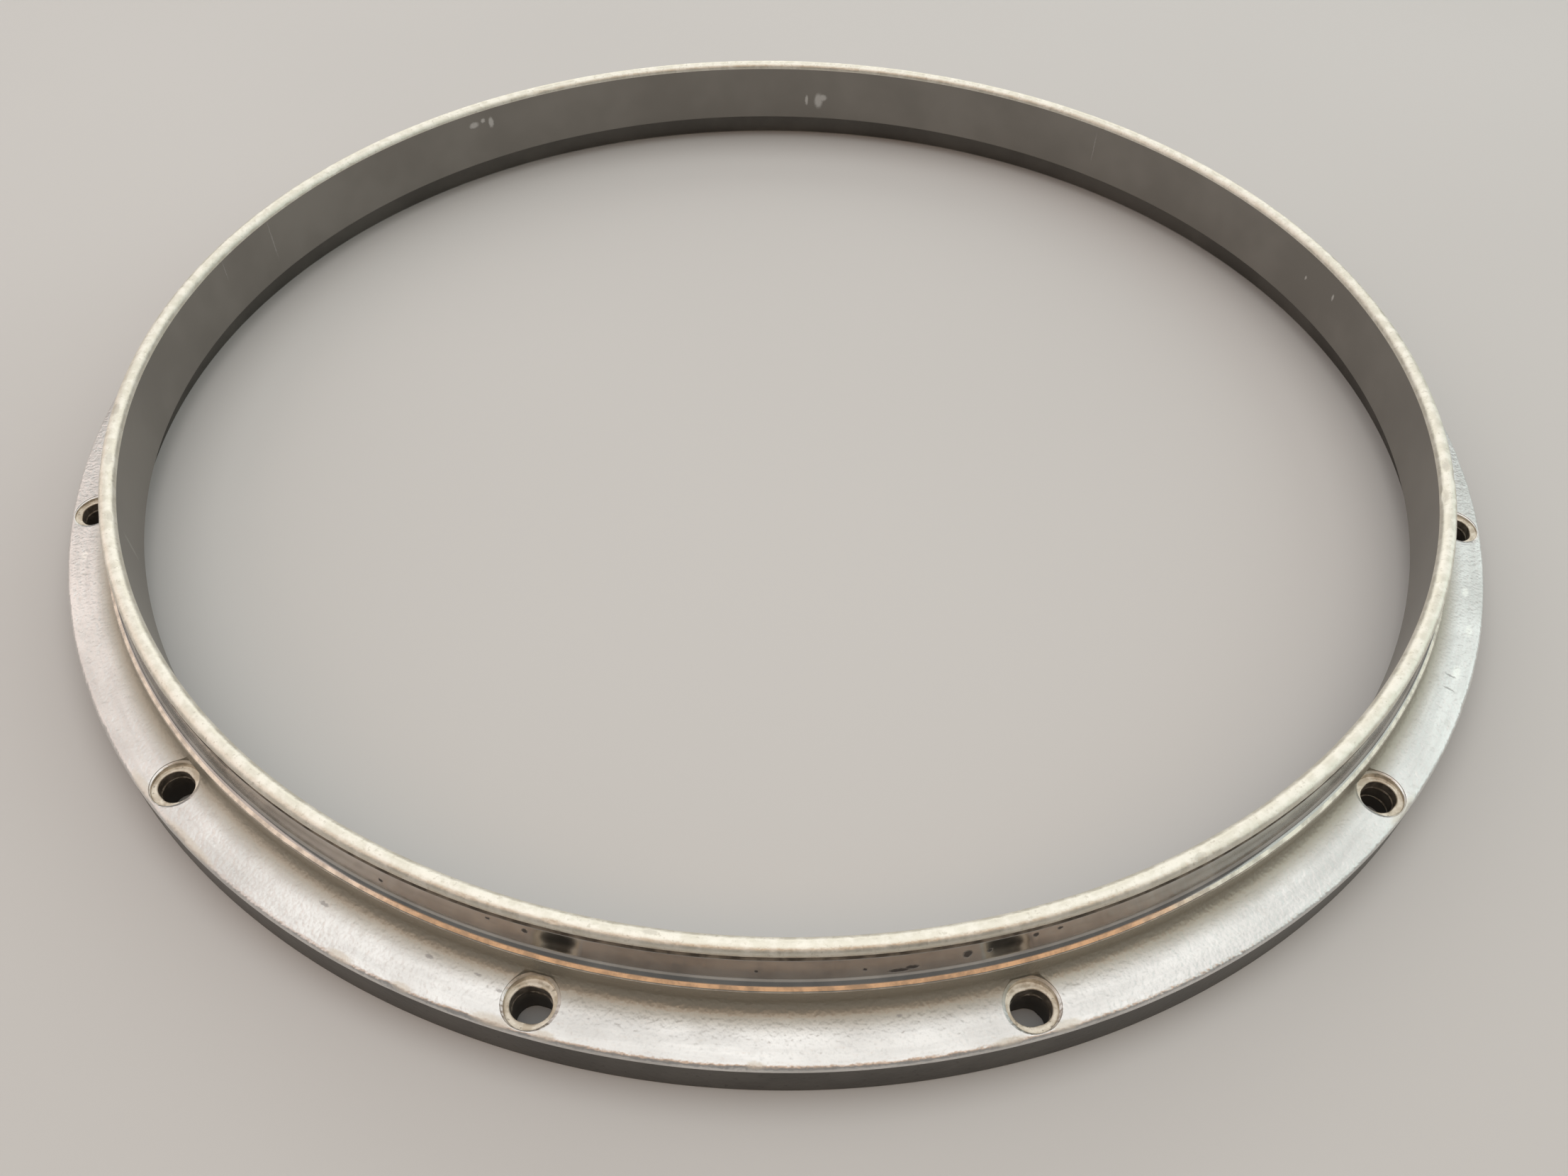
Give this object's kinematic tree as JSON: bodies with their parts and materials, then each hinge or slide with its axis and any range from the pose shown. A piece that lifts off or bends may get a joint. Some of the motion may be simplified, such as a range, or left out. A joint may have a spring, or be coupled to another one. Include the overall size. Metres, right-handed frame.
{
  "type": "drum hoop",
  "caption": "Die-cast metal counter-hoop for a drum: rounded playing lip, sloped wall and a flat flange with oval tension-rod holes in round washer seats.",
  "frame": {"origin": "centre of the ring on the plane of its flat bottom face", "axes": "+Z along the ring's axis, from the bottom face to the playing lip; +X runs between two rod holes, which stand at 15 degrees plus multiples of 30 degrees from +X"},
  "size_m": [0.3996, 0.3996, 0.0302],
  "materials": {
    "cast_aluminium": "satin, as cast, with a fine pebbled texture on the flange"
  },
  "bodies": {
    "root": {"cast_hoop": "cast_aluminium"}
  },
  "joints": []
}
